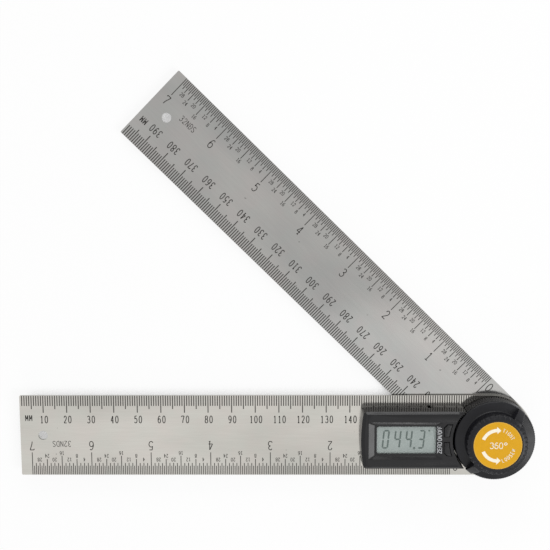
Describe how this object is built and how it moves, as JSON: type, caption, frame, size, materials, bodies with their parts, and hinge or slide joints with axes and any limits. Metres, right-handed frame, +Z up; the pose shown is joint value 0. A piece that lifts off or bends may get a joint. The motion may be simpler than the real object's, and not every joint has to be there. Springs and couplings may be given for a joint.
{
  "type": "digital angle finder",
  "caption": "Digital angle finder: flat steel rules hinged on a locking knob, with a display housing on the fixed rule.",
  "frame": {"origin": "on the pivot axis, at the underside of the rear cap, on the surface that the tool lies on", "axes": "+Z up along the pivot axis through the knob, -X from the pivot along the fixed rule, +Y on the side that the moving rule opens to at rest"},
  "size_m": [0.2173, 0.1699, 0.0201],
  "materials": {
    "rule_steel": "satin stainless steel",
    "dark_steel": "satin",
    "spring_steel": "bright",
    "cell_steel": "bright nickel",
    "brass": "satin",
    "black_housing": "satin black moulding",
    "black_knob": "satin black moulding",
    "button_rubber": "matt",
    "orange_label": "printed film, satin",
    "clear_window": "clear gloss",
    "display_glass": "grey-green display",
    "circuit_board": "green laminate",
    "nylon": "matt",
    "cable": "amber film"
  },
  "bodies": {
    "fixed_arm": {"fixed_rule": "rule_steel", "pivot_stud": "dark_steel", "friction_washer": "nylon", "thrust_washer": "spring_steel", "wave_washer": "spring_steel", "stator_board": "circuit_board", "encoder_cover": "black_housing", "cover_screw_1": "dark_steel", "cover_screw_2": "dark_steel", "cover_screw_3": "dark_steel", "housing": "black_housing", "housing_screw_1": "dark_steel", "housing_screw_2": "dark_steel", "housing_screw_3": "dark_steel", "housing_screw_4": "dark_steel", "display_window": "clear_window", "display_panel": "display_glass", "contact_strip_1": "button_rubber", "contact_strip_2": "button_rubber", "main_board": "circuit_board", "flex_cable": "cable", "zero_switch": "spring_steel", "power_switch": "spring_steel", "battery_contact_1": "brass", "battery_contact_2": "brass"},
    "moving_arm": {"moving_rule": "rule_steel", "rotor_hub": "dark_steel", "rotor_board": "circuit_board", "rear_cap": "black_housing", "rotor_screw_1": "dark_steel", "rotor_screw_2": "dark_steel", "rotor_screw_3": "dark_steel", "hub_screw_1": "dark_steel", "hub_screw_2": "dark_steel", "hub_screw_3": "dark_steel", "cap_screw_1": "dark_steel", "cap_screw_2": "dark_steel", "cap_screw_3": "dark_steel"},
    "lock_knob": {"knob": "black_knob", "knob_insert": "brass", "knob_label": "orange_label"},
    "zero_button": {"zero_button": "button_rubber"},
    "power_button": {"power_button": "button_rubber"},
    "battery_tray": {"battery_tray": "black_housing", "coin_cell": "cell_steel"}
  },
  "joints": [
    {"name": "arm_hinge", "type": "hinge", "parent": "fixed_arm", "child": "moving_arm", "pos_m": [0, 0, 0.0037], "axis": [0, 0, 1], "continuous": true},
    {"name": "knob_turn", "type": "hinge", "parent": "fixed_arm", "child": "lock_knob", "pos_m": [0, 0, 0.0132], "axis": [0, 0, 1], "range_deg": [0, 180]},
    {"name": "zero_press", "type": "slide", "parent": "fixed_arm", "child": "zero_button", "axis": [0, 0, -1], "range_m": [0, 0.0004], "stiffness_N_per_m": 1000, "springref_m": -0.0005},
    {"name": "power_press", "type": "slide", "parent": "fixed_arm", "child": "power_button", "axis": [0, 0, -1], "range_m": [0, 0.0004], "stiffness_N_per_m": 1000, "springref_m": -0.0005},
    {"name": "tray_slide", "type": "slide", "parent": "fixed_arm", "child": "battery_tray", "axis": [0, 1, 0], "range_m": [0, 0.019]}
  ]
}
